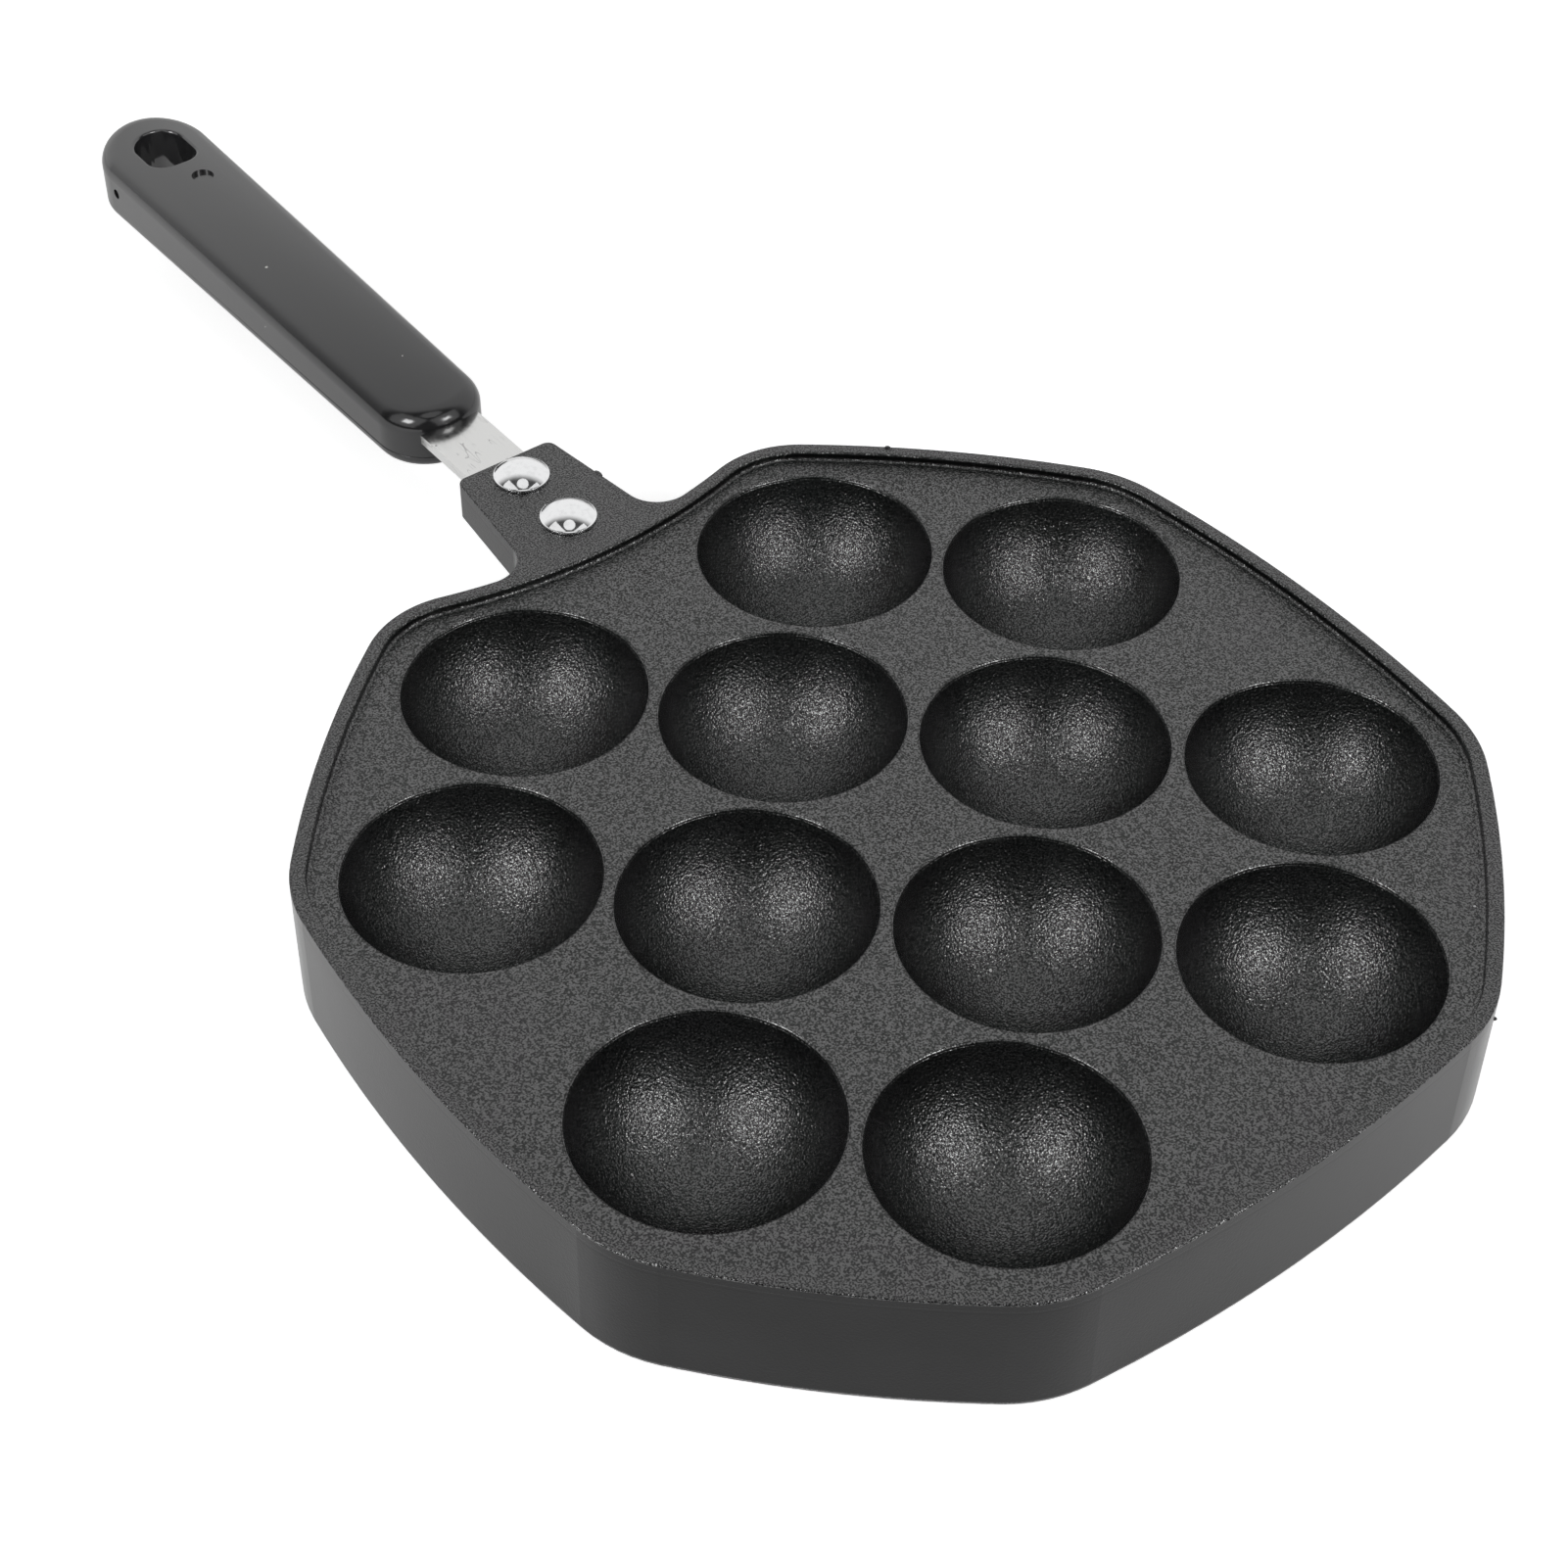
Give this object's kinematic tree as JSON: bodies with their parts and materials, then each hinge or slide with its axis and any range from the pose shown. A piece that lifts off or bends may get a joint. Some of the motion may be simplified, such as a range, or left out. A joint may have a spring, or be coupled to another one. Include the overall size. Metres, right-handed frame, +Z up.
{
  "type": "takoyaki pan",
  "caption": "Cast pan with round cups in an octagonal tray with bowed sides, and a moulded grip on a riveted flat strap.",
  "frame": {"origin": "middle of the pan, on the plane of the edge that it stands on", "axes": "+X along the handle towards its free end, +Z up out of the cups, +Y to the left of someone looking along the handle from the pan"},
  "size_m": [0.3721, 0.1972, 0.0303],
  "materials": {
    "coated_casting": "satin",
    "steel_strap": "satin",
    "rivet": "polished",
    "moulded_grip": "satin"
  },
  "bodies": {
    "root": {"pan_casting": "coated_casting", "handle_strap": "steel_strap", "inner_rivet": "rivet", "outer_rivet": "rivet", "handle_grip": "moulded_grip"}
  },
  "joints": []
}
